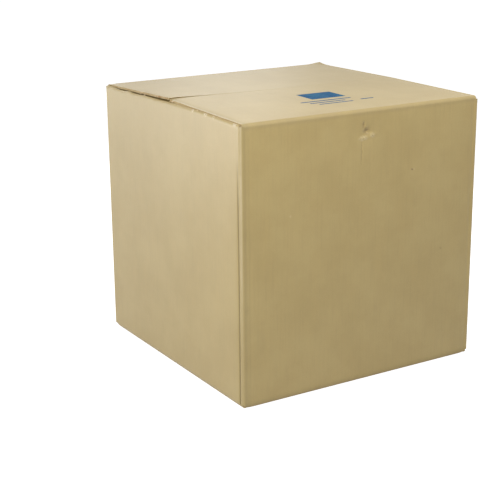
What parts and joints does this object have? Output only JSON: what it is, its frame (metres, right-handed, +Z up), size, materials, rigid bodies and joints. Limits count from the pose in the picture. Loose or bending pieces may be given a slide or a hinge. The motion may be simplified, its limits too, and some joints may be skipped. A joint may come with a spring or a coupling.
{
  "type": "cardboard box",
  "caption": "Closed cube-shaped corrugated cardboard box with hinged outer top flaps meeting at a centre seam, inner top flaps, a glued bottom and a folded glue tab.",
  "frame": {"origin": "on the floor, under the middle of the box", "axes": "+Z up, X along the top seam, -Y out of the front wall"},
  "size_m": [0.5, 0.5, 0.5],
  "materials": {
    "kraft_board": "matte"
  },
  "bodies": {
    "carton": {"box_body": "kraft_board"},
    "front_flap": {"front_top_flap": "kraft_board"},
    "back_flap": {"back_top_flap": "kraft_board"}
  },
  "joints": [
    {"name": "front_flap_fold", "type": "hinge", "parent": "carton", "child": "front_flap", "pos_m": [0, -0.25, 0.4915], "axis": [1, 0, 0], "range_deg": [0, 250]},
    {"name": "back_flap_fold", "type": "hinge", "parent": "carton", "child": "back_flap", "pos_m": [0, 0.25, 0.4915], "axis": [-1, 0, 0], "range_deg": [0, 250]}
  ]
}
